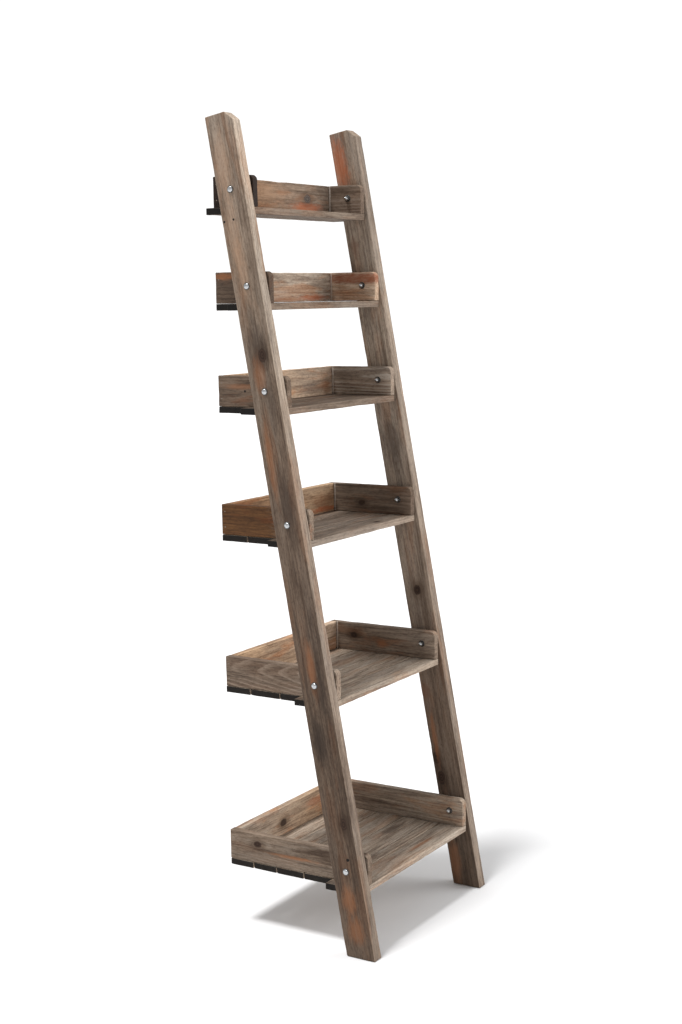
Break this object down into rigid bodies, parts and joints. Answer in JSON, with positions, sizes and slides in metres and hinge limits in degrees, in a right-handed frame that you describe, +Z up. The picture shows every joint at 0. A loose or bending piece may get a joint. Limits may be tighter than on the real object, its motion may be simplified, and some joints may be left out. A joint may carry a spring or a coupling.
{
  "type": "ladder shelf",
  "caption": "Leaning wooden ladder shelf whose open-fronted trays get deeper towards the floor and fold up between the rails on side bolts.",
  "frame": {"origin": "on the floor, in the middle of the width and of the depth", "axes": "+X to the right, +Y to the back, towards the wall that the shelf leans on, +Z up"},
  "size_m": [0.5446, 0.4076, 1.8474],
  "materials": {
    "rail_wood": "weathered, dry, unvarnished",
    "dark_wood": "weathered, dark grey-brown",
    "brown_wood": "weathered, brown",
    "red_brown_wood": "weathered, warm red-brown",
    "grey_wood": "weathered, silver-grey",
    "tan_wood": "weathered, light tan",
    "plank_wood": "weathered, light grey-brown",
    "zinc_steel": "bright zinc plate"
  },
  "bodies": {
    "ladder": {"rail_left": "rail_wood", "rail_right": "rail_wood", "tray_1_bolt_left": "zinc_steel", "tray_1_bolt_right": "zinc_steel", "tray_2_bolt_left": "zinc_steel", "tray_2_bolt_right": "zinc_steel", "tray_3_bolt_left": "zinc_steel", "tray_3_bolt_right": "zinc_steel", "tray_4_bolt_left": "zinc_steel", "tray_4_bolt_right": "zinc_steel", "tray_5_bolt_left": "zinc_steel", "tray_5_bolt_right": "zinc_steel", "tray_6_bolt_left": "zinc_steel", "tray_6_bolt_right": "zinc_steel"},
    "tray_1": {"tray_1_side_left": "dark_wood", "tray_1_side_right": "dark_wood", "tray_1_back": "tan_wood", "tray_1_stop_slat": "plank_wood", "tray_1_plank_1": "plank_wood"},
    "tray_2": {"tray_2_side_left": "dark_wood", "tray_2_side_right": "brown_wood", "tray_2_back": "tan_wood", "tray_2_stop_slat": "plank_wood", "tray_2_plank_1": "plank_wood", "tray_2_plank_2": "plank_wood"},
    "tray_3": {"tray_3_side_left": "brown_wood", "tray_3_side_right": "dark_wood", "tray_3_back": "tan_wood", "tray_3_stop_slat": "plank_wood", "tray_3_plank_1": "plank_wood", "tray_3_plank_2": "plank_wood"},
    "tray_4": {"tray_4_side_left": "red_brown_wood", "tray_4_side_right": "brown_wood", "tray_4_back": "tan_wood", "tray_4_stop_slat": "plank_wood", "tray_4_plank_1": "plank_wood", "tray_4_plank_2": "plank_wood", "tray_4_plank_3": "plank_wood"},
    "tray_5": {"tray_5_side_left": "grey_wood", "tray_5_side_right": "grey_wood", "tray_5_back": "tan_wood", "tray_5_stop_slat": "plank_wood", "tray_5_plank_1": "plank_wood", "tray_5_plank_2": "plank_wood", "tray_5_plank_3": "plank_wood", "tray_5_plank_4": "plank_wood"},
    "tray_6": {"tray_6_side_left": "grey_wood", "tray_6_side_right": "brown_wood", "tray_6_back": "tan_wood", "tray_6_stop_slat": "plank_wood", "tray_6_plank_1": "plank_wood", "tray_6_plank_2": "plank_wood", "tray_6_plank_3": "plank_wood", "tray_6_plank_4": "plank_wood", "tray_6_plank_5": "plank_wood"}
  },
  "joints": [
    {"name": "tray_1_fold", "type": "hinge", "parent": "ladder", "child": "tray_1", "pos_m": [0, 0.13241, 1.68211], "axis": [1, 0, 0], "range_deg": [0, 79.9]},
    {"name": "tray_2_fold", "type": "hinge", "parent": "ladder", "child": "tray_2", "pos_m": [0, 0.0953, 1.47377], "axis": [1, 0, 0], "range_deg": [0, 79.9]},
    {"name": "tray_3_fold", "type": "hinge", "parent": "ladder", "child": "tray_3", "pos_m": [0, 0.05474, 1.24609], "axis": [1, 0, 0], "range_deg": [0, 79.9]},
    {"name": "tray_4_fold", "type": "hinge", "parent": "ladder", "child": "tray_4", "pos_m": [0, 0.00305, 0.95591], "axis": [1, 0, 0], "range_deg": [0, 79.9]},
    {"name": "tray_5_fold", "type": "hinge", "parent": "ladder", "child": "tray_5", "pos_m": [0, -0.0595, 0.60472], "axis": [1, 0, 0], "range_deg": [0, 79.9]},
    {"name": "tray_6_fold", "type": "hinge", "parent": "ladder", "child": "tray_6", "pos_m": [0, -0.13266, 0.194], "axis": [1, 0, 0], "range_deg": [0, 79.9]}
  ]
}
